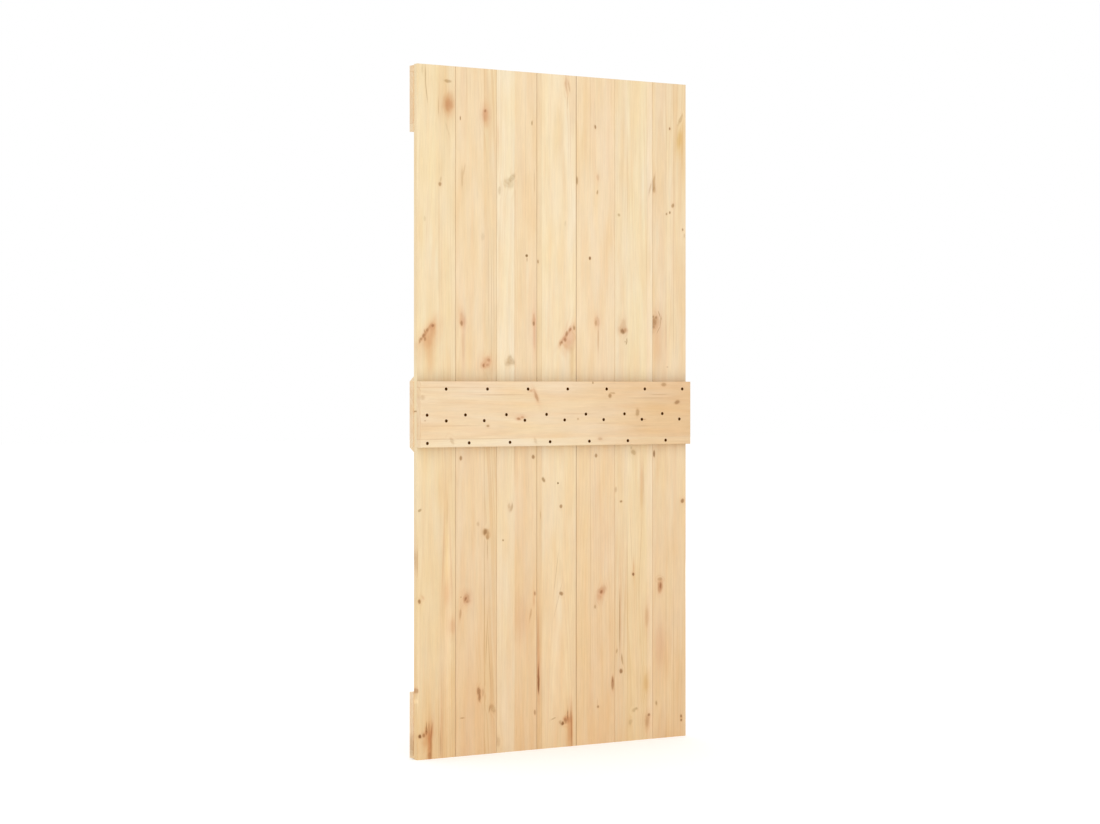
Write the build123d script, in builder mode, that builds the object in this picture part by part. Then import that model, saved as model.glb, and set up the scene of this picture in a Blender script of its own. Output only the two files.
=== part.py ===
"""A braced sliding-door leaf in solid pine.

Seven tongued-and-grooved boards stand side by side.  One rail crosses their front at mid-height.
Three rails and two braces on the back form a K; the top and bottom ones stop just short of the
boards' ends.  Every rail and brace that is screwed to the boards has pockets for sunk screws.

Frame: X runs along the width, Y from front to back, Z up.  The origin is the middle of the top
rail's outer face, where the hangers of a sliding gear are fastened.
"""

import math
import os

from build123d import *

# Driving dimensions, in millimetres
door_height = 2100.0
rail_length = 1000.0
rail_height = 200.0
rail_thickness = 24.0
rail_edge_radius = 3.0
rail_overhang = 2.0
rail_inset = 3.0
middle_rail_height = 1042.0
brace_width = 200.0

# Boards: the two outer ones are trimmed, which takes off the groove on the left and the tongue on the right
board_count = 7
board_thickness = 21.0
left_trim = 12.0
right_trim = 16.0
joint_gap = 0.5
joint_chamfer = 1.0
tongue_length = 8.0
tongue_thickness = 7.0
tongue_clearance = 0.2
groove_depth = 9.5

# Screw pockets, two staggered pairs to each board
pocket_radius = 5.0
pocket_depth = 10.0
upper_row_inset = 23.4
lower_row_inset = 12.9
centre_row_offset = -2.0
centre_row_drop = 17.8
upper_row_from_joint = 47.4
lower_row_from_joint = 112.7
centre_row_from_edge = 20.5
dropped_row_from_edge = 87.4
brace_pocket_spread = 90.0

# Places worked out from the driving dimensions
panel_width = rail_length - 2 * rail_overhang
panel_left = -panel_width / 2
panel_right = panel_width / 2
board_pitch = (panel_width + left_trim + right_trim) / board_count
door_top = rail_height / 2 + rail_inset
door_bottom = door_top - door_height
board_back_y = -rail_thickness
board_centre_y = board_back_y - board_thickness / 2
board_front_y = board_back_y - board_thickness
top_rail_z = door_top - rail_inset - rail_height / 2
middle_rail_z = door_bottom + middle_rail_height
bottom_rail_z = door_bottom + rail_inset + rail_height / 2

# Sketch planes on the two faces of the panel, both with their normal pointing away from the boards
front_face = Plane(origin=(0, board_front_y, 0), x_dir=(1, 0, 0), z_dir=(0, -1, 0))
back_face = Plane(origin=(0, board_back_y, 0), x_dir=(-1, 0, 0), z_dir=(0, 1, 0))


def joint_line(number):
    """X of the joint to the right of a board; 0 and board_count give the untrimmed outer edges."""
    return panel_left - left_trim + number * board_pitch


def board_edges(number):
    """X of a board's left and right edges, as they meet its neighbours or the panel's ends."""
    left = max(joint_line(number - 1), panel_left)
    right = min(joint_line(number), panel_right)
    return left, right


def pair_pockets(number):
    """Two pockets on one board, near a rail's upper and lower edges, as (x, height from the rail's middle)."""
    joint = joint_line(number)
    upper = (joint - upper_row_from_joint, rail_height / 2 - upper_row_inset)
    lower = (joint - lower_row_from_joint, lower_row_inset - rail_height / 2)
    return [upper, lower]


def centre_pockets(number):
    """Two more pockets on one board, along the rail's middle."""
    edge = board_edges(number)[0]
    centre = (edge + centre_row_from_edge, centre_row_offset)
    dropped = (edge + dropped_row_from_edge, centre_row_offset - centre_row_drop)
    return [centre, dropped]


def write_part(part, name):
    part.label = name
    export_step(part, f"parts/{name}.step")


def make_board(number):
    """A full-height board with a groove on its left edge and a tongue on its right, bevelled at the joints."""
    left, right = board_edges(number)
    has_groove = number > 1
    has_tongue = number < board_count
    body_left = left + joint_gap / 2 if has_groove else left
    body_right = right - joint_gap / 2 if has_tongue else right
    with BuildPart() as board:
        with BuildSketch(Plane.XY.offset(door_bottom)) as section:
            with Locations(((body_left + body_right) / 2, board_centre_y)):
                Rectangle(body_right - body_left, board_thickness)
            chamfer(section.vertices(), joint_chamfer)
            if has_tongue:
                with Locations((body_right, board_centre_y)):
                    Rectangle(tongue_length, tongue_thickness, align=(Align.MIN, Align.CENTER))
            if has_groove:
                groove_width = tongue_thickness + 2 * tongue_clearance
                with Locations((body_left, board_centre_y)):
                    Rectangle(groove_depth, groove_width, align=(Align.MIN, Align.CENTER), mode=Mode.SUBTRACT)
        extrude(amount=door_height)
    return board.part


def make_rail(face, height, pockets):
    """A rail lying on one face of the panel, rounded round its outer face, with a pocket for each screw."""
    with BuildPart() as rail:
        with BuildSketch(face):
            with Locations((0, height)):
                Rectangle(rail_length, rail_height)
        extrude(amount=rail_thickness)
        outer_face = rail.faces().sort_by(Axis(face.origin, face.z_dir))[-1]
        fillet(outer_face.edges(), rail_edge_radius)
        if pockets:
            with Locations(face.offset(rail_thickness)):
                with Locations(*[(x, height + rise) for x, rise in pockets]):
                    Hole(pocket_radius, pocket_depth)
    return rail.part


def brace_foot(rise):
    """Length of a brace's level end, for a brace of the set width that climbs by rise over the rail's length."""
    width_square = brace_width**2
    spare = rise**2 - width_square
    root = math.sqrt(width_square**2 * rail_length**2 + spare * width_square * (rise**2 + rail_length**2))
    return (root - width_square * rail_length) / spare


def make_brace(inner_z, outer_z):
    """A brace from the middle rail's left end, at inner_z, to the right end of the rail at outer_z."""
    foot = brace_foot(abs(outer_z - inner_z))
    half = rail_length / 2
    foot_middle = half - foot / 2
    pockets = []
    for number in range(2, board_count):
        x = -sum(board_edges(number)) / 2
        share = (foot_middle - x) / (2 * foot_middle)
        middle_z = inner_z + share * (outer_z - inner_z)
        pockets += [(x, middle_z - brace_pocket_spread / 2), (x, middle_z + brace_pocket_spread / 2)]
    with BuildPart() as brace:
        with BuildSketch(back_face):
            with BuildLine():
                Polyline((half, inner_z), (foot - half, outer_z), (-half, outer_z), (half - foot, inner_z), close=True)
            make_face()
        extrude(amount=rail_thickness)
        outer_face = brace.faces().sort_by(Axis.Y)[-1]
        fillet(outer_face.edges().filter_by(Axis.X, reverse=True), rail_edge_radius)
        with Locations(back_face.offset(rail_thickness)):
            with Locations(*pockets):
                Hole(pocket_radius, pocket_depth)
    return brace.part


os.makedirs("parts", exist_ok=True)
board_numbers = range(1, board_count + 1)

for number in board_numbers:
    write_part(make_board(number), f"board_{number}")

pairs = [pocket for number in board_numbers for pocket in pair_pockets(number)]
centres = [pocket for number in board_numbers for pocket in centre_pockets(number)]
back_pairs = [(-x, rise) for x, rise in pairs]

write_part(make_rail(front_face, middle_rail_z, pairs + centres), "front_middle_rail")
write_part(make_rail(back_face, top_rail_z, back_pairs), "back_top_rail")
write_part(make_rail(back_face, middle_rail_z, []), "back_middle_rail")
write_part(make_rail(back_face, bottom_rail_z, back_pairs), "back_bottom_rail")

half_rail = rail_height / 2
write_part(make_brace(middle_rail_z + half_rail, top_rail_z - half_rail), "back_upper_brace")
write_part(make_brace(middle_rail_z - half_rail, bottom_rail_z + half_rail), "back_lower_brace")
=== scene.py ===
import math
import random
from collections import namedtuple

import bpy
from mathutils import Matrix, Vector


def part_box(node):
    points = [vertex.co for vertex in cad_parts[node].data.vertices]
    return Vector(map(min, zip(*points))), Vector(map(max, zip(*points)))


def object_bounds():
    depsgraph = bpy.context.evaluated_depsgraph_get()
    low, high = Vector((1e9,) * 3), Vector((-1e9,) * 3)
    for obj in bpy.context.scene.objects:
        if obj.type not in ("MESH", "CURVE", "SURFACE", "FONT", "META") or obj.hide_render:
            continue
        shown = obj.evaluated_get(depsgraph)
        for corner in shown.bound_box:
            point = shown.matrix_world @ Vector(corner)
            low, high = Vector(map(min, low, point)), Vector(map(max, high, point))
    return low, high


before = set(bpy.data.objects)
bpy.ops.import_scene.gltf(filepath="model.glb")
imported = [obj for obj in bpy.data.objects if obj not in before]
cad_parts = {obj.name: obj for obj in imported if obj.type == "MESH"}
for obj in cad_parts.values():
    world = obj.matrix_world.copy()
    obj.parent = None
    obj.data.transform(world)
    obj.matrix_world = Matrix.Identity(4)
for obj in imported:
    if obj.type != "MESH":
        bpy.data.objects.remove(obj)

cad_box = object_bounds()
MM = 0.001
X, Y, Z = range(3)


def span(node, axis):
    """The lowest and highest place of a CAD node along an axis, in millimetres."""
    low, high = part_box(node)
    return low[axis] / MM, high[axis] / MM


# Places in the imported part, in millimetres
PANEL_LEFT = span("board_1", X)[0]
PANEL_RIGHT = span("board_7", X)[1]
SECOND_BOARD_LEFT = span("board_2", X)[0]
BOARD_PITCH = span("board_3", X)[0] - SECOND_BOARD_LEFT
JOINT_GAP = 0.5
FIRST_JOINT = SECOND_BOARD_LEFT - JOINT_GAP / 2 - BOARD_PITCH
BOARD_FACE_Y = span("board_1", Y)[0]
FRONT_FACE_Y = span("front_middle_rail", Y)[0]
BACK_FACE_Y = span("back_middle_rail", Y)[1]
RAIL_LEFT, RAIL_RIGHT = span("front_middle_rail", X)
RAIL_LENGTH = RAIL_RIGHT - RAIL_LEFT
FRONT_RAIL_BOTTOM, FRONT_RAIL_TOP = span("front_middle_rail", Z)
BRACE_WIDTH = 200.0

# A mark along the grain: millimetres, degrees, then how red, dark (light below zero) and golden it is
Mark = namedtuple("Mark", "across along half_across half_along tilt red dark gold", defaults=(0.0,))

# Knots, streaks and grain lines, listed one by one: x, z, half width, half height, tilt, red, dark and any
# gold
MARKS = {
    "board_1": [
        (-470, 72, 1.8, 30, -1, .02, .30), (-466, 20, 1.8, 32, -7, .03, .26),
        (-424, -24, 1.2, 30, 0, .10, .20), (-480, 88, 4, 16, 0, 0, .10), (-391, 56, 12, 5, 0, 0, .30),
        (-390, -9, 18, 30, 8, .26, .03, .22), (-386, -16, 11, 17, 0, .54, .02, .12),
        (-392, -92, 3, 26, -18, 0, .07), (-415, 5, 22, 110, 0, .04, 0, .09),
        (-419, -258, 4.5, 6, 0, .20, .40), (-416, -244, 3, 8, 10, 0, .14), (-472, -363, 4, 8, 0, 0, .10),
        (-456, -722, 17, 36, 30, .50, 0, .20), (-446, -690, 8, 12, 20, .35, .03),
        (-453, -778, 12, 55, 0, .32, 0, .20), (-468, -708, 4.5, 34, 36, .30, .12),
        (-444, -686, 4.5, 5, 30, .25, .35), (-464, -699, 4, 5, 20, .20, .22),
        (-471, -704, 3.5, 6, 0, .20, .25), (-476, -718, 5, 7, 20, .25, .30),
        (-471, -727, 4, 6, 0, .20, .30), (-485, -728, 4, 4, 0, .20, .30),
        (-489, -736, 3, 6, 20, .20, .22), (-490, -1245, 6, 4, -30, 0, .40),
        (-490, -1519, 5, 6, -20, .35, .50), (-480, -1508, 7, 5, 40, .25, 0),
        (-407, -1385, 3, 105, 2, .22, .02), (-381, -1390, 2.5, 100, -2, .16, .02),
        (-392, -1250, 2.5, 45, 0, .16, .03), (-395, -1360, 6, 90, 0, 0, 0, .22),
        (-396, -1500, 10, 32, 0, .26, 0), (-375, -1599, 12, 20, 0, .34, 0),
        (-497, -1400, 1.5, 40, 0, .20, .15), (-494, -1750, 5, 240, 0, 0, -.04),
        (-391, -1600, 13, 330, 0, 0, -.08), (-497, -1788, 3, 7, 0, .35, .24),
        (-498, -1820, 3, 8, 0, 0, -.10), (-498, -946, 6, 2.2, 0, .25, .40),
        (-488, -1926, 6, 6, 0, .35, 1.0), (-475, -1924, 5, 6, 20, .45, .35),
        (-467, -1915, 3, 8, 0, .35, .35), (-462, -1930, 14, 24, 30, .36, 0, .15),
        (-457, -1955, 4.2, 48, 0, .56, .02, .32), (-455, -1986, 6, 14, 0, .15, .18),
        (-450, -1950, 3, 60, 0, .42, .16, .20), (-466, -1898, 2, 18, 0, .25, .35),
        (-457, -1902, 1.5, 20, 0, .25, .28), (-447, -1908, 3, 24, 8, .35, .08),
        (-413, -1900, 5, 90, 0, .22, 0), (-417, -1950, 2.5, 40, 0, .12, .12),
    ],
    "board_2": [
        (-324, 45, 1.2, 62, 0, .04, .12), (-312, 45, 1.2, 50, 0, .03, .07),
        (-347, -53, 1.8, 6, 0, .20, .70), (-258, -38, 10, 19, 0, .56, .02),
        (-258, -26, 4, 5, 0, .25, .30), (-341, -235, 4, 33, 0, .05, .14),
        (-334, -215, 3, 20, 10, .03, .10), (-267, -413, 6, 12, 0, 0, .10),
        (-338, -666, 9, 20, -12, .30, .04), (-343, -677, 4.5, 7, 0, .25, .36),
        (-336, -740, 5, 64, 0, .26, .02), (-255, -798, 17, 17, -30, .40, 0),
        (-247, -789, 6, 5, 35, .40, .16), (-262, -806, 6, 5.5, 0, .45, .34),
        (-250, -805, 5, 4, 0, .30, .10), (-247, -560, 1.3, 150, 0, .04, .09),
        (-236, -640, 1.3, 190, 0, .04, .10), (-228, -600, 1.2, 170, 0, .03, .08),
        (-345, -1089, 4.5, 7, 0, .15, .55), (-257, -1316, 9, 9, 0, .18, .52, .25),
        (-250, -1331, 5, 9, 10, .15, .24, .20), (-250, -1365, 1.6, 28, 0, .10, .20),
        (-262, -1390, 1.4, 60, 0, 0, .10), (-284, -1292, 5, 7, 0, .05, .14),
        (-262, -1560, 1.4, 120, 0, .08, .18), (-253, -1640, 1.4, 90, 3, .06, .16),
        (-244, -1700, 1.4, 90, -3, .06, .16), (-325, -1517, 12, 16, 0, .40, .12),
        (-328, -1519, 4.5, 6, 0, .30, .35), (-345, -1512, 2, 2, 0, .10, .35),
        (-322, -1528, 5, 4, 0, .20, .15), (-347, -1562, 4, 15, 8, .20, .18),
        (-281, -1802, 5.5, 11, 0, .25, .40), (-279, -1822, 5, 12, 0, .25, .44),
        (-270, -1808, 6, 12, 0, .22, .12), (-310, -1840, 24, 110, 0, .10, 0),
        (-236, -1800, 5, 110, 0, .06, .03), (-340, -1881, 7, 1.7, 0, .20, .32),
        (-233, -1858, 8, 14, -40, .02, .18), (-243, -1860, 1.8, 12, 10, .05, .28),
    ],
    "board_3": [
        (-163, -228, 8, 15, 40, 0, .22), (-176, -246, 17, 16, 40, 0, .14),
        (-207, -268, 5, 14, 0, .02, .16), (-213, -107, 3, 50, 0, .22, 0), (-89, -54, 2.4, 7, 0, 0, .48),
        (-80, -235, 3, 36, 0, 0, .12), (-112, -180, .9, 180, 0, .02, .10),
        (-109, -466, 4.2, 4.2, 0, 0, 1.0), (-107, -478, 2, 6, 0, .10, .25),
        (-83, -674, 4, 7, 0, .15, .42), (-83, -656, 4, 12, 0, .25, .08), (-80, -705, 5, 55, 0, .42, .03),
        (-168, -789, 11, 15, 12, 0, .24), (-178, -800, 10, 8, 0, 0, .12), (-85, -1089, 5, 6, 0, .15, .55),
        (-166, -1245, 5, 13, 10, .15, .24), (-172, -1238, 5, 8, 0, .10, .12),
        (-195, -1344, 3, 3, 0, .05, .52), (-78, -1513, 3, 6, 0, .40, .30), (-82, -1535, 3, 14, 0, .30, 0),
        (-95, -1580, 3, 20, 10, .15, .14), (-130, -1590, 22, 60, 0, .18, 0),
        (-79, -1882, 3.5, 7, 0, .20, .34), (-213, -1962, 9, 22, -10, .10, .14),
    ],
    "board_4": [
        (60, 10, 8, 90, 0, .15, 0, .13), (39, 76, 6, 20, 0, .34, .08), (48, 66, 3, 16, -10, .10, .12),
        (42, 20, 2, 28, 0, .05, .16), (-67, -482, 2.2, 6, 0, .25, .55), (54, -714, 14, 26, 20, .46, 0),
        (42, -738, 13, 16, 30, .26, 0, .14), (38, -710, 4.5, 34, 40, .28, .12),
        (67, -686, 3.5, 7, 0, .15, .42), (53, -692, 4, 5, 30, .25, .26), (39, -705, 4, 7, 10, .20, .28),
        (34, -724, 4.5, 6, 20, .25, .34), (21, -732, 4, 4, 0, .20, .26), (17, -738, 3, 7, 20, .15, .24),
        (58, -790, 10, 48, 0, .04, .03, .22), (34, -362, 3, 9, 0, 0, .08),
        (-46, -1161, 5, 8, -30, .05, .52), (7, -1172, 3, 3, 0, 0, .95), (18, -1245, 5, 5.5, 20, .25, .50),
        (19, -1518, 6.5, 6, 30, .15, .55), (-58, -1270, 1.8, 14, 0, .10, .16),
        (0, -1450, 1.5, 70, 8, .03, .12), (5, -1700, 42, 210, 0, 0, -.03),
        (6, -1540, 1.6, 60, 16, .03, .10), (-66, -1762, 2.2, 24, 2, .35, .50),
        (-65, -1800, 2.6, 26, 0, .30, .70), (-65, -1740, 4.5, 125, 0, .36, 0),
        (-67, -1640, 2.5, 80, 0, .22, .04), (22, -1923, 5.5, 5.5, 0, .25, .85),
        (15, -1918, 5, 5, 0, 0, .14), (33, -1916, 7, 8, 30, .35, .25),
        (41, -1912, 8, 12, 20, .40, .05, .15), (43, -1896, 1.6, 18, 0, .30, .40),
        (55, -1905, 1.6, 26, 0, .40, .30), (50, -1948, 7, 48, 0, .48, 0, .34),
        (58, -1952, 2.4, 50, 0, .46, .16, .20), (-10, -1906, 9, 2.5, -20, .05, .20),
    ],
    "board_5": [
        (104, -1800, 20, 120, 0, 0, 0, .07), (160, 10, 24, 90, 0, .03, 0, .05),
        (147, -53, 3.2, 6, 0, .15, .58), (78, -225, 3.6, 12, 0, .05, .36),
        (156, -212, 4.4, 12, 0, .25, .06), (155, -257, 3, 7, 10, .10, .36),
        (127, -467, 4, 5, 0, .15, 1.0), (127, -490, 1, 20, 0, .05, .10), (155, -664, 7, 17, 0, .30, .08),
        (150, -672, 4, 9, 0, .12, .18), (158, -722, 3, 37, 0, .20, .14), (150, -1089, 5, 6, 0, .10, .48),
        (175, -1512, 11, 14, 20, .34, .08), (170, -1518, 4.5, 6, 20, .40, .36),
        (164, -1536, 8, 14, 20, .35, 0), (146, -1564, 3.5, 6, 0, .10, .26),
        (213, -1798, 3.5, 9, 0, .20, .32), (214, -1818, 4.6, 17, 0, .34, .32),
        (157, -1880, 3.7, 4, 0, .20, .40), (155, -1865, 1, 14, 0, .10, .12),
    ],
    "board_6": [
        (357, -238, 3, 18, 15, .10, .14), (237, -326, 5, 5, 0, .02, .28), (252, -696, 9, 9, 0, .20, .56),
        (254, -680, 10, 22, 0, .24, .08), (262, -690, 5, 5, 0, .20, .15), (266, -727, 2.4, 9, 10, 0, .52),
        (261, -728, 3, 3, 0, 0, .22), (328, -560, 7, 45, 0, 0, 0, .14),
        (292, -1080, 11, 8, 0, 0, .22, .10), (284, -1066, 4, 5, 0, 0, .16),
        (225, -1197, 4, 9, 0, .05, .18), (245, -1235, 5, 3.5, 0, .10, .50),
        (208, -1328, 3, 8, 20, .10, .12), (292, -1468, 4, 4.5, 0, .25, .85),
        (294, -1448, 2.4, 16, 0, .30, 0), (325, -1160, 4.5, 40, 0, .26, 0),
        (324, -1225, 6, 34, 0, .08, 0, .28), (331, -1170, 2, 50, 0, .05, .06),
        (353, -1300, 7, 160, 0, 0, 0, .10), (320, -1400, 1.5, 120, 3, .06, .08),
        (284, -1360, 1.4, 90, -2, .05, .08), (245, -1772, 6, 7.5, 0, .20, .62),
        (249, -1736, 3, 16, -8, .15, .28), (239, -1617, 1.6, 94, 0, .15, .32),
        (243, -1600, 3, 110, 0, .18, .04), (229, -1709, 3, 7, 15, .10, .22),
        (342, -1818, 10, 28, 0, .12, 0, .55), (344, -1607, 8, 32, 0, .30, .06),
        (297, -1900, 10, 6, -25, 0, .20), (304, -1896, 4, 4, 0, 0, .14), (282, -1938, 7, 8, 0, .08, .14),
        (346, -1942, 10, 22, 0, .34, .16), (352, -1920, 5, 4.5, 0, .10, .50),
    ],
    "board_7": [
        (434, -42, 3, 4, 0, .30, .62), (478, -8, 4, 15, 25, 0, .20), (470, -24, 4, 10, 30, 0, .10),
        (472, -76, 10, 30, 8, 0, 0, .75), (484, -100, 4, 60, 0, .10, 0, .20),
        (372, -222, 5, 28, 5, .14, .24), (374, -240, 6, 10, 0, .10, .16),
        (446, -289, 5.5, 7, 15, .15, .42), (434, -312, 3.4, 4.5, 0, .15, .58),
        (421, -317, 3, 4, 0, .15, .42), (486, -366, 3, 4.5, 0, .15, .42), (492, -385, 2, 8, 0, .10, .18),
        (372, -664, 17, 28, 0, .22, .06), (375, -660, 10, 14, 0, .10, .30),
        (370, -646, 5, 4, 0, .05, .36), (381, -649, 4, 4, 0, .05, .32), (372, -680, 6, 5, 20, .10, .26),
        (394, -640, 2, 14, -24, .10, .26), (399, -662, 2, 16, 8, .10, .20),
        (391, -688, 2, 12, 30, .10, .18), (390, -738, 18, 60, 0, .24, 0),
        (420, -705, 1.2, 40, 0, .25, .06), (426, -808, 4, 2, 0, 0, .18),
        (373, -1086, 3.6, 9, 0, .20, .72), (485, -1238, 5.5, 7, 0, .35, .50),
        (396, -1511, 8, 17, 0, .42, .16), (398, -1508, 4, 10, 0, .45, .30),
        (396, -1487, 9, 5, 0, .05, .20), (398, -1700, 20, 60, 0, .26, 0),
        (382, -1884, 3.5, 7, 0, .05, .34), (468, -1830, 15, 110, 0, .05, 0, .08),
        (479, -1932, 3.6, 5, 0, .15, .65), (479, -1945, 3.6, 4.5, 0, .15, .65),
    ],
    "front_middle_rail": [
        (-492, -904, 8, 8, 0, .02, .13), (-485, -974, 2.6, 2.3, 0, .10, .22),
        (-264, -991, 5, 3.5, 0, .12, .38), (-154, -969, 7, 4, 0, .60, .30),
        (-139, -965, 6, 4, 0, .40, .10), (-150, -960, 26, 4, 0, .15, 0),
        (-89, -900, 5, 18, -24, .42, .20), (-108, -883, 6, 3, 0, .30, .12),
        (-391, -1036, 6, 12, -30, .05, .15), (-92, -1038, 5, 11, -30, .05, .12),
        (187, -899, 6, 8, 10, .06, .46), (198, -891, 8, 3, 0, 0, .25), (292, -955, 7, 12, 0, .04, .32),
        (446, -920, 10, 6, 0, .10, .44), (393, -864, 9, 7, 0, .10, .30), (122, -858, 3, 4, 0, .05, .40),
        (149, -1035, 9, 5, 0, .20, .14), (66, -972, 3.5, 3.5, 0, .10, .24),
        (317, -975, 7, 1.5, 0, .20, .20), (-216, -896, 100, 1.3, 0, .05, .16),
        (-393, -990, 90, 1.3, 0, .05, .12), (375, -896, 35, 1.3, 0, .05, .16),
        (342, -907, 80, 1.2, 0, .05, .12), (180, -986, 55, 1.2, 0, .05, .10),
        (313, -996, 30, 1.2, 0, .05, .12), (65, -956, 65, 1.2, 0, .05, .10),
    ],
    "back_bottom_rail": [
        (-500, -1960, 8, 30, 0, .05, .22),
    ],
}

# A glued strip: far edge in millimetres, tone, centre of its rings in metres, how strongly the rings show
Strip = namedtuple("Strip", "limit tone ring_across ring_through figure")

# Glued strips of each board from left to right, in the order of Strip's fields
STRIPS = {
    "board_1": [(-423, (245, 221, 178), .02, .10, .09), (-363, (243, 217, 174), -.06, .05, .17)],
    "board_2": [(-262, (243, 215, 174), -.03, .12, .09), (-217, (241, 213, 170), .02, .06, .20)],
    "board_3": [(-152, (247, 225, 188), .06, .11, .09), (-71, (244, 216, 175), -.04, .05, .12)],
    "board_4": [(-53, (241, 213, 170), -.05, .10, .09), (76, (247, 223, 183), .01, .04, .16)],
    "board_5": [(128, (245, 217, 175), .07, .12, .09), (222, (244, 216, 176), -.08, .05, .11)],
    "board_6": [(270, (243, 218, 178), .05, .10, .16), (345, (245, 221, 179), -.05, .07, .17),
                (368, (247, 222, 184), .1, .1, .09)],
    "board_7": [(420, (241, 213, 172), -.03, .05, .09), (450, (243, 216, 175), .06, .1, .09),
                (499, (242, 214, 172), .09, .06, .12)],
}

# How far the strips reach past the edge of a piece, in millimetres
STRIP_SPARE = 1.0

# How dark the painted shade and dirt in the upright edges' grooves are: the leaf's left edge, the six joints
# from left to right, its right edge
JOINT_SHADE_AND_DIRT = (0.0, 0.16, 0.02, 0.20, 0.40, 0.0, 0.0, 0.0)

# Seams, in millimetres: of the rails from their upper and lower edges, of the braces from their middle
UPPER_SEAM = 18.0
LOWER_SEAM = 25.0
BRACE_SEAM = 30.0

# How strongly the rings show on the front rail, and on the rails and braces of the back
FRONT_FIGURE = 0.09
BACK_FIGURE = 0.15

# Random marks on the back: how many, how red, and how far from the edges and from the middle, in millimetres
KNOT_COUNT = 8
PIN_COUNT = 4
STREAK_COUNT = 3
HEART_RED = 0.2
PIN_RED = 0.1
EDGE_MARGIN = 12.0
RAIL_MARK_REACH = 480.0
BRACE_MARK_REACH = 420.0


def linear(red, green, blue):
    """A colour as a screen shows it, from 0 to 255, as the linear values that shaders take."""
    parts = [value / 255 for value in (red, green, blue)]
    return [c / 12.92 if c <= 0.04045 else ((c + 0.055) / 1.055) ** 2.4 for c in parts] + [1.0]


# Colours of the wood, and colour factors
EARLY_WOOD = linear(247, 225, 186)
LATE_WOOD = linear(219, 172, 116)
WARM_WOOD = linear(240, 203, 154)
MIDDLE_TONE = linear(244, 219, 178)
END_TINT = (0.99, 0.97, 0.95, 1.0)
# Painted shade: darker and warmer towards the leaf's foot and the front rail's right end, and in the corners
# by the front rail
FOOT_SHADE_TINT = (0.915, 0.82, 0.72, 1.0)
FAR_SHADE_TINT = (0.91, 0.81, 0.70, 1.0)
CORNER_SHADE_TINT = (0.75, 0.77, 0.80, 1.0)
GLUE_TINT = (0.86, 0.78, 0.70, 1.0)
# Painted shade inside the screw pockets
POCKET_SHADE_BROWN = (0.25, 0.085, 0.002, 1.0)
# Painted shade, with dirt, in the grooves of the joints
JOINT_SHADE_BROWN = (0.27, 0.13, 0.05, 1.0)

# Light that a mark takes up in red, green and blue, for each way it is coloured
RED_TAKES = Vector((0.26, 0.67, 0.81))
GOLD_TAKES = Vector((0.15, 0.30, 0.70))
DARK_TAKES = Vector((1.46, 1.84, 2.40))

# How a mark fades, in half sizes from its middle: where it starts and where it is full
CORE_FADE = (1.5, 0.25)
HALO_FADE = (3.0, 0.6)
BEND_FADE = (3.4, 0.4)

# The core's share of a mark's blush, the rings in the core, and how far the grain bulges out there
CORE_SHARE = 0.6
KNOT_RINGS = 9.0
KNOT_RING_DEPTH = 0.14
BULGE = 0.5

# Knots pull the grain aside, and marks from this half length on are streaks, which leave it straight
STREAK_LENGTH = 30.0
WIDEST_PULL = 9.0
PULL = -0.8

# How far the outline of a knot wobbles, in half sizes, and the share of that in a streak
KNOT_WOBBLE = (1.3, 0.0, 1.3)
STREAK_WOBBLE = (0.35, 0.0, 0.35)

# Scales of the noise in the wood, for each metre across, through and along the grain
MARK_EDGES = (45, 45, 30)
SLOW_CURVES = (9, 9, 1.1)
WIDE_STREAKS = (38, 38, 4)
NARROW_STREAKS = (150, 150, 8)
FIBRES = (700, 700, 30)
MOTTLE = (30, 30, 14)
HUES = (24, 24, 4)
PATCHES = (6, 6, 1.6)
NOISE_MIDDLE = 0.5

# How far the noise moves from one seed to the next, in metres
SEED_STEP = (3.7, 1.3, 7.1)

# Keeps the places of the rings' centres above zero, as the colours of a ramp have to be
RAMP_ZERO = 0.5

# Growth rings, with lengths in metres
CURVE_SWING = 0.034
LOG_TAPER = 0.014
RINGS_A_METRE = 150.0
YEARS_SCALE = 85.0
YEARS_SWING = 3.2
YEARS_SEED_STEP = 2.3
LATE_RISE = (0.25, 0.88)
LATE_FALL = (1.0, 0.90)
KNOT_RISE = (0.0, 0.008)
NEAR_KNOT_FIGURE = 0.12
FIGURED_PATCH = (0.40, 0.66)
LEAST_FIGURE = 0.45

# Strengths of the noise in the colour
WARM_STREAK = (0.38, 0.72)
WARM_SHARE = 0.34
NARROW_SHADE = 0.11
FIBRE_SHADE = 0.15
MOTTLE_SHADE = 0.10
GREEN_HUE = 0.10
BLUE_HUE = 0.40

# Glue lines, end grain, and painted shade towards the foot, the far end and the corners by the front rail,
# with lengths in metres
SEAM_BLUR = 0.002
GLUE_LINE = (0.0016, 0.0005)
GLUED_PATCH = (0.42, 0.60)
GLUE_SHARE = 0.8
END_FACING = (0.6, 0.9)
END_RINGS = 0.22
FOOT_SHADE_RANGE = (-0.5, -2.2)
FAR_SHADE_RANGE = (-0.1, 0.5)
CORNER_REACH = 0.060
CORNER_SHADE_BELOW = 0.58
FACE_SKIN = 0.0015

# Painted shade and dirt along the joints, in millimetres from a board's edge: where it starts and where it
# is full
JOINT_SHADE_START = 2.6
JOINT_SHADE_FULL = 0.4

# Painted shade in the screw pockets, with lengths in metres, and in millimetres a length past the ends of
# every brace
POCKET_RIM = (0.0, 0.0003)
POCKET_MARGIN = 0.004
ANY_LENGTH = 3000.0

# The planed surface, with the bump's depth in metres
LEAST_ROUGHNESS = 0.50
FIBRE_ROUGHNESS = 0.16
SPECULAR_LEVEL = 0.20
BUMP_STRENGTH = 0.25
BUMP_DEPTH = 0.0004
NARROW_BUMP = 0.5
FIBRE_BUMP = 0.7

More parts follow.
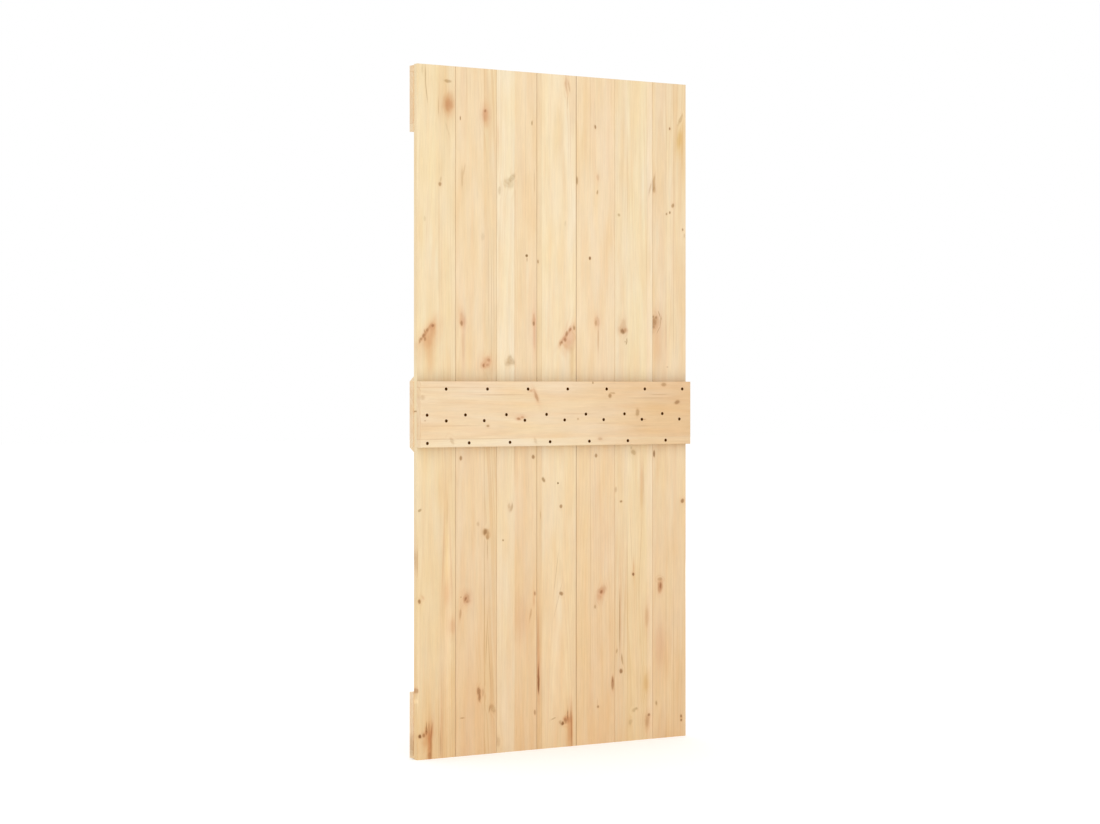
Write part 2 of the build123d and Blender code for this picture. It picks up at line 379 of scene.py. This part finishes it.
# Floor, light and camera, in metres, watts, degrees and pixels of the frame
FLOOR_SIZE = 80.0
FLOOR_WHITE = (0.90, 0.90, 0.90, 1.0)
FLOOR_GLOW = 0.25
WHITE = (1.0, 1.0, 1.0, 1.0)
WORLD_LIGHT = 0.92
KEY_PLACE = (-4.0, -7.0, 0.2)
BACK_FILL_PLACE = (4.0, 7.0, 0.6)
LAMP_TARGET = Vector((0.0, 0.0, -0.8))
LAMP_SIZE = 5.0
LAMP_WATTS = 75.0
FRAME_WIDTH_PX = 1100.0
FOCAL_PX = 2510.0
SHIFT_PX = -24.7
SENSOR_MM = 36.0
CAMERA_PLACE = (-4.2452, -6.6247, -0.8731)
CAMERA_TURN = (90.0, 0.0, -32.69)


class Tree:
    """Adds nodes to a shader tree; every argument is a number, a tuple or another node's socket."""

    def __init__(self, tree):
        self.tree = tree

    def put(self, socket, value):
        if isinstance(value, bpy.types.NodeSocket):
            self.tree.links.new(value, socket)
        else:
            socket.default_value = value

    def node(self, kind, *values, **settings):
        made = self.tree.nodes.new(kind)
        for name, value in settings.items():
            setattr(made, name, value)
        for socket, value in zip(made.inputs, values):
            self.put(socket, value)
        return made

    def math(self, operation, *values, clamp=False):
        return self.node("ShaderNodeMath", *values, operation=operation, use_clamp=clamp).outputs[0]

    def vector(self, operation, *values):
        made = self.node("ShaderNodeVectorMath", *values, operation=operation)
        return made.outputs["Value" if operation in ("LENGTH", "DOT_PRODUCT") else "Vector"]

    def smooth(self, value, low, high):
        """0 at low and 1 at high, eased at both ends; low may be above high."""
        made = self.node("ShaderNodeMapRange", interpolation_type="SMOOTHSTEP")
        flip = low > high
        self.put(made.inputs["Value"], value)
        self.put(made.inputs["From Min"], high if flip else low)
        self.put(made.inputs["From Max"], low if flip else high)
        self.put(made.inputs["To Min"], 1.0 if flip else 0.0)
        self.put(made.inputs["To Max"], 0.0 if flip else 1.0)
        return made.outputs["Result"]

    def noise(self, vector, stretch, detail=2.0, roughness=0.5, output="Fac"):
        """Noise over a vector that is first scaled by stretch, a number for each axis."""
        made = self.node("ShaderNodeTexNoise")
        self.put(made.inputs["Vector"], self.vector("MULTIPLY", vector, stretch))
        made.inputs["Scale"].default_value = 1.0
        made.inputs["Detail"].default_value = detail
        made.inputs["Roughness"].default_value = roughness
        return made.outputs[output]

    def mix(self, factor, first, second, blend="MIX"):
        made = self.node("ShaderNodeMix", data_type="RGBA", blend_type=blend)
        self.put(made.inputs[0], factor)
        self.put(made.inputs[6], first)
        self.put(made.inputs[7], second)
        return made.outputs[2]

    def ramp(self, value, stops, interpolation="LINEAR"):
        """A colour ramp through stops, each a place from 0 to 1 and a colour."""
        made = self.node("ShaderNodeValToRGB", value)
        made.color_ramp.interpolation = interpolation
        elements = made.color_ramp.elements
        while len(elements) < len(stops):
            elements.new(1.0)
        for element, (place, _) in zip(elements, stops):
            element.position = place
        for element, (_, colour) in zip(elements, stops):
            element.color = colour
        return made.outputs[0]

    def separate(self, vector):
        return self.node("ShaderNodeSeparateXYZ", vector).outputs

    def combine(self, *values):
        return self.node("ShaderNodeCombineXYZ", *values).outputs[0]


def make_mark_group():
    """One mark: bends the grain round itself and adds the light it takes to the total so far."""
    group = bpy.data.node_groups.new("knot", "ShaderNodeTree")
    for name, kind in (("Wobble", "Vector"), ("Flow", "Vector"), ("Taken", "Vector"), ("Centre", "Vector"),
                       ("Side", "Vector"), ("Rise", "Vector"), ("Pull", "Float"), ("Wide Takes", "Vector"),
                       ("Core Takes", "Vector")):
        group.interface.new_socket(name=name, in_out="INPUT", socket_type="NodeSocket" + kind)
    for name in ("Flow", "Taken"):
        group.interface.new_socket(name=name, in_out="OUTPUT", socket_type="NodeSocketVector")
    t = Tree(group)
    given = t.node("NodeGroupInput").outputs
    away = t.vector("SUBTRACT", given["Flow"], given["Centre"])
    side = t.vector("DOT_PRODUCT", away, given["Side"])
    rise = t.vector("DOT_PRODUCT", away, given["Rise"])
    distance = t.vector("LENGTH", t.vector("ADD", t.combine(side, 0.0, rise), given["Wobble"]))

    # A wide blush round a core with faint rings
    core = t.smooth(distance, *CORE_FADE)
    halo = t.smooth(distance, *HALO_FADE)
    wave = t.math("COSINE", t.math("MULTIPLY", distance, KNOT_RINGS))
    ringed = t.math("MULTIPLY_ADD", wave, KNOT_RING_DEPTH, 1.0 - KNOT_RING_DEPTH)
    wide_part = t.math("MULTIPLY_ADD", core, CORE_SHARE, t.math("MULTIPLY", halo, 1.0 - CORE_SHARE))
    core_part = t.math("MULTIPLY", core, ringed)
    taken = given["Taken"]
    for takes, part in (("Wide Takes", wide_part), ("Core Takes", core_part)):
        taken = t.vector("MULTIPLY_ADD", given[takes], t.combine(part, part, part), taken)

    # The grain runs round the mark and bulges out at it
    bend = t.math("MULTIPLY", t.smooth(distance, *BEND_FADE), given["Pull"])
    aside = t.math("MULTIPLY", bend, side)
    bulge = t.math("MULTIPLY", bend, BULGE)
    done = t.node("NodeGroupOutput").inputs
    t.put(done["Flow"], t.vector("ADD", given["Flow"], t.combine(aside, bulge, 0.0)))
    t.put(done["Taken"], taken)
    return group


MARK_GROUP = make_mark_group()


def is_streak(mark):
    return mark.half_along >= STREAK_LENGTH


def mark_order(mark):
    """Streaks come first, on straight grain; then small knots, so that large ones keep their outline."""
    return (not is_streak(mark), mark.half_across * mark.half_along)


def tone_factor(tone):
    """A strip's tone against the middle colour of the wood, as a factor on each channel."""
    return [wanted / middle for wanted, middle in zip(linear(*tone), MIDDLE_TONE)]


class Pine:
    """Planed pine with its grain along the piece, built up in layers as one material."""

    def __init__(self, name, turn, seed, start, strips, marks):
        """turn, about Y, lays the grain along Z; start, strips and marks are in the turned places."""
        self.material = bpy.data.materials.new(name)
        self.material.use_nodes = True
        self.material.node_tree.nodes.clear()
        self.t = Tree(self.material.node_tree)
        self.seed = seed
        coordinates = self.t.node("ShaderNodeTexCoord").outputs
        self.raw = coordinates["Object"]
        self.place = self.laid(self.raw, turn)
        facing = self.t.separate(self.laid(coordinates["Normal"], turn))[Z]
        self.end_grain = self.t.smooth(self.t.math("ABSOLUTE", facing), *END_FACING)
        self.own = self.t.vector("ADD", self.place, [seed * step for step in SEED_STEP])
        self.add_marks(marks)
        self.lay_strips(start, strips)
        self.grow_rings()
        self.colour_wood()
        self.draw_glue_lines()

    def laid(self, vector, turn):
        """A place or a direction, turned so that the grain runs along Z."""
        made = self.t.node("ShaderNodeVectorRotate", rotation_type="Y_AXIS")
        self.t.put(made.inputs["Vector"], vector)
        made.inputs["Angle"].default_value = turn
        return made.outputs[0]

    def add_marks(self, marks):
        """Chains the marks: each one bends the flow of the grain and adds the light that it takes up."""
        t = self.t
        wobble = t.vector("SUBTRACT", t.noise(self.own, MARK_EDGES, output="Color"), [NOISE_MIDDLE] * 3)
        wobble = t.vector("MULTIPLY", wobble, KNOT_WOBBLE)
        calm = t.vector("MULTIPLY", wobble, STREAK_WOBBLE)
        self.flow = self.place
        self.taken = (0.0, 0.0, 0.0)
        for mark in sorted(marks, key=mark_order):
            made = t.node("ShaderNodeGroup", node_tree=MARK_GROUP)
            lean = math.radians(mark.tilt)
            wide = mark.half_across * MM
            tall = mark.half_along * MM
            centre = (mark.across * MM, 0.0, mark.along * MM)
            side = (math.cos(lean) / wide, 0.0, -math.sin(lean) / wide)
            rise = (math.sin(lean) / tall, 0.0, math.cos(lean) / tall)
            pull = 0.0 if is_streak(mark) else PULL * min(mark.half_across, WIDEST_PULL) * MM
            shake = calm if is_streak(mark) else wobble
            wide_takes = RED_TAKES * mark.red + GOLD_TAKES * mark.gold
            core_takes = DARK_TAKES * mark.dark
            values = (shake, self.flow, self.taken, centre, side, rise, pull, wide_takes, core_takes)
            for socket, value in zip(made.inputs, values):
                t.put(socket, value)
            self.flow, self.taken = made.outputs

    def lay_strips(self, start, strips):
        """Each strip has its own tone and centre of rings: it was sawn from another place in the log."""
        t = self.t
        low = start * MM
        width = strips[-1].limit * MM - low
        self.seams = [strip.limit * MM for strip in strips[:-1]]
        self.middle = low + width / 2
        begins = [0.0] + [(seam - low) / width for seam in self.seams]
        blur = SEAM_BLUR / width
        centres = []
        for begin, strip in zip(begins, strips):
            shifted = (RAMP_ZERO + strip.ring_across, RAMP_ZERO + strip.ring_through, strip.figure, 1.0)
            centres.append((begin, shifted))
        tones = [(0.0, tone_factor(strips[0].tone))]
        for begin, before, after in zip(begins[1:], strips, strips[1:]):
            tones += [(begin - blur, tone_factor(before.tone)), (begin + blur, tone_factor(after.tone))]
        from_low = t.math("SUBTRACT", t.separate(self.place)[X], low)
        share = t.math("DIVIDE", from_low, width, clamp=True)
        centre = t.vector("SUBTRACT", t.ramp(share, centres, "CONSTANT"), (RAMP_ZERO, RAMP_ZERO, 0.0))
        self.centre_across, self.centre_through, self.figure = t.separate(centre)
        self.strip_tone = t.ramp(share, tones)

    def grow_rings(self):
        """Late wood by the distance from the log's centre, bent by knots and by the tree's slow curves."""
        t = self.t
        slow = t.math("SUBTRACT", t.noise(self.own, SLOW_CURVES), NOISE_MIDDLE)
        slow = t.math("MULTIPLY", slow, CURVE_SWING)
        flow_across, flow_through, flow_along = t.separate(self.flow)
        from_across = t.math("SUBTRACT", flow_across, t.math("ADD", self.centre_across, self.middle))
        from_across = t.math("ADD", from_across, slow)
        from_through = t.math("SUBTRACT", flow_through, self.centre_through)
        radius = t.vector("LENGTH", t.combine(from_across, from_through, 0.0))
        radius = t.math("MULTIPLY_ADD", flow_along, LOG_TAPER, radius)
        years = t.node("ShaderNodeTexNoise", noise_dimensions="1D")
        t.put(years.inputs["W"], t.math("MULTIPLY_ADD", radius, YEARS_SCALE, self.seed * YEARS_SEED_STEP))
        years.inputs["Scale"].default_value = 1.0
        years.inputs["Detail"].default_value = 1.0
        count = t.math("MULTIPLY", radius, RINGS_A_METRE)
        ring = t.math("FRACT", t.math("MULTIPLY_ADD", years.outputs["Fac"], YEARS_SWING, count))
        self.late = t.math("MULTIPLY", t.smooth(ring, *LATE_RISE), t.smooth(ring, *LATE_FALL))
        bulge = t.math("SUBTRACT", flow_through, t.separate(self.place)[Y])
        self.near_knot = t.smooth(t.math("ABSOLUTE", bulge), *KNOT_RISE)

    def colour_wood(self):
        """Colour from rings, slow streaks, fine fibres and the strips' tones."""
        t = self.t
        wide = t.noise(self.own, WIDE_STREAKS)
        mottle = t.noise(self.own, MOTTLE, detail=3.0)
        hue = t.math("SUBTRACT", t.noise(self.own, HUES), NOISE_MIDDLE)
        self.narrow = t.noise(self.own, NARROW_STREAKS)
        self.fibre = t.noise(self.own, FIBRES, roughness=0.6)
        self.patch = t.noise(self.own, PATCHES, detail=1.0)
        figured = t.math("ADD", t.smooth(self.patch, *FIGURED_PATCH), LEAST_FIGURE)
        strength = t.math("MULTIPLY", self.figure, figured)
        strength = t.math("MULTIPLY_ADD", self.near_knot, NEAR_KNOT_FIGURE, strength)
        colour = t.mix(t.math("MULTIPLY", self.late, strength), EARLY_WOOD, LATE_WOOD)
        warm = t.math("MULTIPLY", t.smooth(wide, *WARM_STREAK), WARM_SHARE)
        colour = t.mix(warm, colour, WARM_WOOD)
        shade = 1.0
        for noise, share in ((self.narrow, NARROW_SHADE), (self.fibre, FIBRE_SHADE), (mottle, MOTTLE_SHADE)):
            shade = t.math("MULTIPLY_ADD", t.math("SUBTRACT", noise, NOISE_MIDDLE), share, shade)
        green_shade = t.math("MULTIPLY_ADD", hue, GREEN_HUE, shade)
        blue_shade = t.math("MULTIPLY_ADD", hue, BLUE_HUE, shade)
        colour = t.mix(1.0, colour, t.combine(shade, green_shade, blue_shade), "MULTIPLY")
        self.colour = t.mix(1.0, colour, self.strip_tone, "MULTIPLY")
        self.roughness = t.math("MULTIPLY_ADD", self.fibre, FIBRE_ROUGHNESS, LEAST_ROUGHNESS)

    def tint(self, factor, tint):
        """Multiplies the colour by a tint, as far as factor says."""
        self.colour = self.t.mix(factor, self.colour, tint, "MULTIPLY")

    def draw_glue_lines(self):
        """The seams between the strips show here and there."""
        t = self.t
        for seam in self.seams:
            off_line = t.math("ABSOLUTE", t.math("SUBTRACT", t.separate(self.place)[X], seam))
            glue = t.math("MULTIPLY", t.smooth(off_line, *GLUE_LINE), t.smooth(self.patch, *GLUED_PATCH))
            self.tint(t.math("MULTIPLY", glue, GLUE_SHARE), GLUE_TINT)

    def paint_foot_shade(self):
        """Painted shade: the leaf is darker and warmer towards its foot."""
        self.tint(self.t.smooth(self.t.separate(self.raw)[Z], *FOOT_SHADE_RANGE), FOOT_SHADE_TINT)

    def paint_far_end_shade(self):
        """Painted shade: the front rail is darker and warmer towards its right end."""
        self.tint(self.t.smooth(self.t.separate(self.raw)[X], *FAR_SHADE_RANGE), FAR_SHADE_TINT)

    def show_ends_and_marks(self):
        """Sawn ends show rings. Marks take up light, blue first, so they go from orange to brown."""
        t = self.t
        end_colour = t.mix(1.0, self.colour, END_TINT, "MULTIPLY")
        end_colour = t.mix(t.math("MULTIPLY", self.late, END_RINGS), end_colour, LATE_WOOD)
        self.colour = t.mix(self.end_grain, self.colour, end_colour)
        left_over = [t.math("POWER", math.exp(-1.0), part) for part in t.separate(self.taken)]
        self.tint(1.0, t.combine(*left_over))

    def paint_joint_shade_and_dirt(self, left, right, left_dark, right_dark):
        """Painted shade and dirt darken the grooves along a board's edges."""
        t = self.t
        across = t.separate(self.place)[X]
        at_left = t.smooth(across, (left + JOINT_SHADE_START) * MM, (left + JOINT_SHADE_FULL) * MM)
        at_right = t.smooth(across, (right - JOINT_SHADE_START) * MM, (right - JOINT_SHADE_FULL) * MM)
        line = t.math("MULTIPLY_ADD", at_right, right_dark, t.math("MULTIPLY", at_left, left_dark))
        self.colour = t.mix(line, self.colour, JOINT_SHADE_BROWN)

    def paint_corner_shade(self):
        """Painted shade on the boards' front in the corners above and below the front rail, weaker below."""
        t = self.t
        rail_middle = (FRONT_RAIL_TOP + FRONT_RAIL_BOTTOM) / 2 * MM
        rail_half = (FRONT_RAIL_TOP - FRONT_RAIL_BOTTOM) / 2 * MM
        from_rail = t.math("SUBTRACT", t.separate(self.raw)[Z], rail_middle)
        clear = t.math("SUBTRACT", t.math("ABSOLUTE", from_rail), rail_half)
        clear = t.math("DIVIDE", clear, CORNER_REACH, clamp=True)
        # Painted shade, strongest against the rail
        corner_shade = t.math("POWER", t.math("SUBTRACT", 1.0, clear), 2.0)
        is_above = t.math("GREATER_THAN", from_rail, 0.0)
        corner_shade = t.math("MULTIPLY", corner_shade, t.math("MULTIPLY_ADD", is_above, 1.0 - CORNER_SHADE_BELOW, CORNER_SHADE_BELOW))
        is_front = t.math("LESS_THAN", t.separate(self.raw)[Y], BOARD_FACE_Y * MM + FACE_SKIN)
        self.tint(t.math("MULTIPLY", corner_shade, is_front), CORNER_SHADE_TINT)

    def paint_pocket_shade(self, face_y, inward, middle, half_height, half_length):
        """Painted shade darkens the inside of a screw pocket, whose drilled wood is rough; the piece's own
        edges stay clean.
        """
        t = self.t
        depth = t.math("MULTIPLY", t.math("SUBTRACT", t.separate(self.raw)[Y], face_y * MM), inward)
        inside = t.smooth(depth, *POCKET_RIM)
        for axis, centre, half in ((X, middle, half_height), (Z, 0.0, half_length)):
            off_centre = t.math("ABSOLUTE", t.math("SUBTRACT", t.separate(self.place)[axis], centre * MM))
            is_within = t.math("LESS_THAN", off_centre, half * MM - POCKET_MARGIN)
            inside = t.math("MULTIPLY", inside, is_within)
        self.colour = t.mix(inside, self.colour, POCKET_SHADE_BROWN)
        self.roughness = t.math("MAXIMUM", self.roughness, inside)

    def cover(self, node):
        """Ends the material and shows a CAD node in it."""
        t = self.t
        height = t.math("MULTIPLY", self.narrow, NARROW_BUMP)
        height = t.math("ADD", height, t.math("MULTIPLY", self.fibre, FIBRE_BUMP))
        bump = t.node("ShaderNodeBump")
        bump.inputs["Strength"].default_value = BUMP_STRENGTH
        bump.inputs["Distance"].default_value = BUMP_DEPTH
        t.put(bump.inputs["Height"], height)
        shader = t.node("ShaderNodeBsdfPrincipled")
        t.put(shader.inputs["Base Color"], self.colour)
        t.put(shader.inputs["Roughness"], self.roughness)
        shader.inputs["Specular IOR Level"].default_value = SPECULAR_LEVEL
        t.put(shader.inputs["Normal"], bump.outputs[0])
        t.put(t.node("ShaderNodeOutputMaterial").inputs["Surface"], shader.outputs[0])
        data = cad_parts[node].data
        data.materials.clear()
        data.materials.append(self.material)


def joint(number):
    """The x of the joint to the right of a board; 0 gives the first board's left edge before trimming."""
    return FIRST_JOINT + number * BOARD_PITCH


def dress_board(number):
    """Lays pine on an upright board, whose grain runs along z."""
    node = f"board_{number}"
    left = max(joint(number - 1), PANEL_LEFT)
    right = min(joint(number), PANEL_RIGHT)
    strips = [Strip(*row) for row in STRIPS[node]]
    marks = [Mark(*row) for row in MARKS[node]]
    wood = Pine(node + "_pine", 0.0, number, left - STRIP_SPARE, strips, marks)
    # Painted shade towards the foot, along the joints and in the corners by the front rail
    wood.paint_foot_shade()
    wood.show_ends_and_marks()
    wood.paint_joint_shade_and_dirt(left, right, JOINT_SHADE_AND_DIRT[number - 1], JOINT_SHADE_AND_DIRT[number])
    wood.paint_corner_shade()
    wood.cover(node)


def random_marks(seed, low, high, half_length, middle=0.0):
    """Knots with a dark heart, pin knots and streaks for a piece of the back, from a fixed seed."""
    chance = random.Random(seed)
    marks = []

    def anywhere():
        across = chance.uniform(low + EDGE_MARGIN, high - EDGE_MARGIN)
        return across, middle + chance.uniform(-half_length, half_length)

    for _ in range(KNOT_COUNT):
        across, along = anywhere()
        size = chance.uniform(3.0, 9.0)
        length = size * chance.uniform(1.0, 1.7)
        tilt = chance.uniform(-25, 25)
        red = chance.uniform(0.15, 0.45)
        dark = chance.uniform(0.05, 0.22)
        marks.append(Mark(across, along, size, length, tilt, red, dark))
        heart = chance.uniform(0.35, 0.55)
        aside = chance.uniform(-0.4, 0.4) * size
        across += aside
        along += aside
        dark = chance.uniform(0.2, 0.5)
        marks.append(Mark(across, along, size * heart, length * heart, tilt, HEART_RED, dark))
    for _ in range(PIN_COUNT):
        across, along = anywhere()
        size = chance.uniform(1.5, 3.0)
        length = chance.uniform(2.0, 4.0)
        dark = chance.uniform(0.3, 0.6)
        marks.append(Mark(across, along, size, length, 0, PIN_RED, dark))
    for _ in range(STREAK_COUNT):
        across, along = anywhere()
        size = chance.uniform(1.2, 2.5)
        length = chance.uniform(40, 120)
        red = chance.uniform(0.05, 0.2)
        dark = chance.uniform(0.03, 0.10)
        marks.append(Mark(across, along, size, length, 0, red, dark))
    return marks


def dress_rail(node, seed, front=False):
    """Lays pine on a level rail; across its grain is minus z."""
    bottom, top = span(node, Z)
    low, high = -top, -bottom
    figure = FRONT_FIGURE if front else BACK_FIGURE
    strips = [Strip(low + UPPER_SEAM, (244, 216, 178), -.03, .09, figure),
              Strip(high - LOWER_SEAM, (242, 213, 173), .04, .10, figure),
              Strip(high + STRIP_SPARE, (245, 221, 184), -.04, .07, figure)]
    marks = [Mark(-z, x, tall, wide, *rest) for x, z, wide, tall, *rest in MARKS.get(node, [])]
    if not front:
        marks += random_marks(seed, low, high, RAIL_MARK_REACH)
    wood = Pine(node + "_pine", -math.pi / 2, seed, low - STRIP_SPARE, strips, marks)
    if front:
        # Painted shade towards the rail's right end
        wood.paint_far_end_shade()
    wood.show_ends_and_marks()
    face_y, inward = (FRONT_FACE_Y, 1.0) if front else (BACK_FACE_Y, -1.0)
    # Painted shade inside the screw pockets
    wood.paint_pocket_shade(face_y, inward, (low + high) / 2, (high - low) / 2, RAIL_LENGTH / 2)
    wood.cover(node)


def brace_foot(rise):
    """The length of a brace's slanted end along the rail that it meets, from the height that it climbs."""
    spare = rise ** 2 - BRACE_WIDTH ** 2
    root = BRACE_WIDTH ** 4 * RAIL_LENGTH ** 2 + spare * BRACE_WIDTH ** 2 * (rise ** 2 + RAIL_LENGTH ** 2)
    return (math.sqrt(root) - BRACE_WIDTH ** 2 * RAIL_LENGTH) / spare


def dress_brace(node, inner_z, outer_z, seed):
    """Lays pine along a brace, from the left end of the middle rail to the right end of another rail."""
    run = RAIL_LENGTH - brace_foot(abs(outer_z - inner_z))
    turn = math.atan2(outer_z - inner_z, run) - math.pi / 2
    middle_z = (inner_z + outer_z) / 2
    across = middle_z * math.sin(turn)
    along = middle_z * math.cos(turn)
    half_width = BRACE_WIDTH / 2
    low, high = across - half_width, across + half_width
    strips = [Strip(across - BRACE_SEAM, (243, 215, 174), .02, .10, BACK_FIGURE),
              Strip(high + STRIP_SPARE, (245, 219, 179), -.03, .06, BACK_FIGURE)]
    marks = random_marks(seed, low, high, BRACE_MARK_REACH, along)
    wood = Pine(node + "_pine", turn, seed, low - STRIP_SPARE, strips, marks)
    wood.show_ends_and_marks()
    # Painted shade inside the screw pockets
    wood.paint_pocket_shade(BACK_FACE_Y, -1.0, across, half_width, ANY_LENGTH)
    wood.cover(node)


for board_number in range(1, len(STRIPS) + 1):
    dress_board(board_number)
dress_rail("front_middle_rail", seed=21, front=True)
dress_rail("back_top_rail", seed=22)
dress_rail("back_middle_rail", seed=23)
dress_rail("back_bottom_rail", seed=24)
upper_bottom, upper_top = span("back_upper_brace", Z)
lower_bottom, lower_top = span("back_lower_brace", Z)
dress_brace("back_upper_brace", upper_bottom, upper_top, seed=25)
dress_brace("back_lower_brace", lower_top, lower_bottom, seed=26)


def seen_directly(t):
    """1 for a ray from the camera or through glass and mirrors, 0 for light that falls on the object."""
    path = t.node("ShaderNodeLightPath").outputs
    seen = t.math("MAXIMUM", path["Is Camera Ray"], path["Is Glossy Ray"])
    return t.math("MAXIMUM", seen, path["Is Transmission Ray"])


def paint_floor():
    """A plain white floor that keeps the object's shadow."""
    paint = bpy.data.materials.new("floor_white")
    paint.use_nodes = True
    paint.node_tree.nodes.clear()
    t = Tree(paint.node_tree)
    diffuse = t.node("ShaderNodeBsdfDiffuse", FLOOR_WHITE)
    glow = t.node("ShaderNodeEmission", WHITE, t.math("MULTIPLY", seen_directly(t), FLOOR_GLOW))
    total = t.node("ShaderNodeAddShader", diffuse.outputs[0], glow.outputs[0])
    t.put(t.node("ShaderNodeOutputMaterial").inputs["Surface"], total.outputs[0])
    return paint


def light_world():
    """Even light from all round, in front of a white background."""
    world = bpy.data.worlds.new("studio")
    bpy.context.scene.world = world
    world.use_nodes = True
    world.node_tree.nodes.clear()
    t = Tree(world.node_tree)
    light = t.node("ShaderNodeBackground", WHITE, WORLD_LIGHT)
    white = t.node("ShaderNodeBackground", WHITE, 1.0)
    chosen = t.node("ShaderNodeMixShader", seen_directly(t), light.outputs[0], white.outputs[0])
    t.put(t.node("ShaderNodeOutputWorld").inputs["Surface"], chosen.outputs[0])


def hang_lamp(name, place):
    """A large soft lamp that shines on the middle of the leaf and isn't seen itself."""
    data = bpy.data.lights.new(name, "AREA")
    data.shape = "DISK"
    data.size = LAMP_SIZE
    data.energy = LAMP_WATTS
    made = bpy.data.objects.new(name, data)
    made.location = place
    made.visible_camera = False
    made.rotation_euler = (LAMP_TARGET - Vector(place)).to_track_quat("-Z", "Y").to_euler()
    bpy.context.scene.collection.objects.link(made)


def set_camera():
    """A level camera at the photo's viewing angle."""
    data = bpy.data.cameras.new("camera")
    data.sensor_width = SENSOR_MM
    data.lens = FOCAL_PX * SENSOR_MM / FRAME_WIDTH_PX
    data.shift_y = SHIFT_PX / FRAME_WIDTH_PX
    camera = bpy.data.objects.new("camera", data)
    camera.location = CAMERA_PLACE
    camera.rotation_euler = [math.radians(angle) for angle in CAMERA_TURN]
    bpy.context.scene.collection.objects.link(camera)
    bpy.context.scene.camera = camera


bpy.ops.mesh.primitive_plane_add(size=FLOOR_SIZE, location=(0, 0, cad_box[0].z))
floor = bpy.context.object
floor.name = "floor"
floor.data.materials.append(paint_floor())
light_world()
hang_lamp("key", KEY_PLACE)
hang_lamp("back_fill", BACK_FILL_PLACE)
set_camera()
bpy.context.scene.view_settings.view_transform = "Standard"
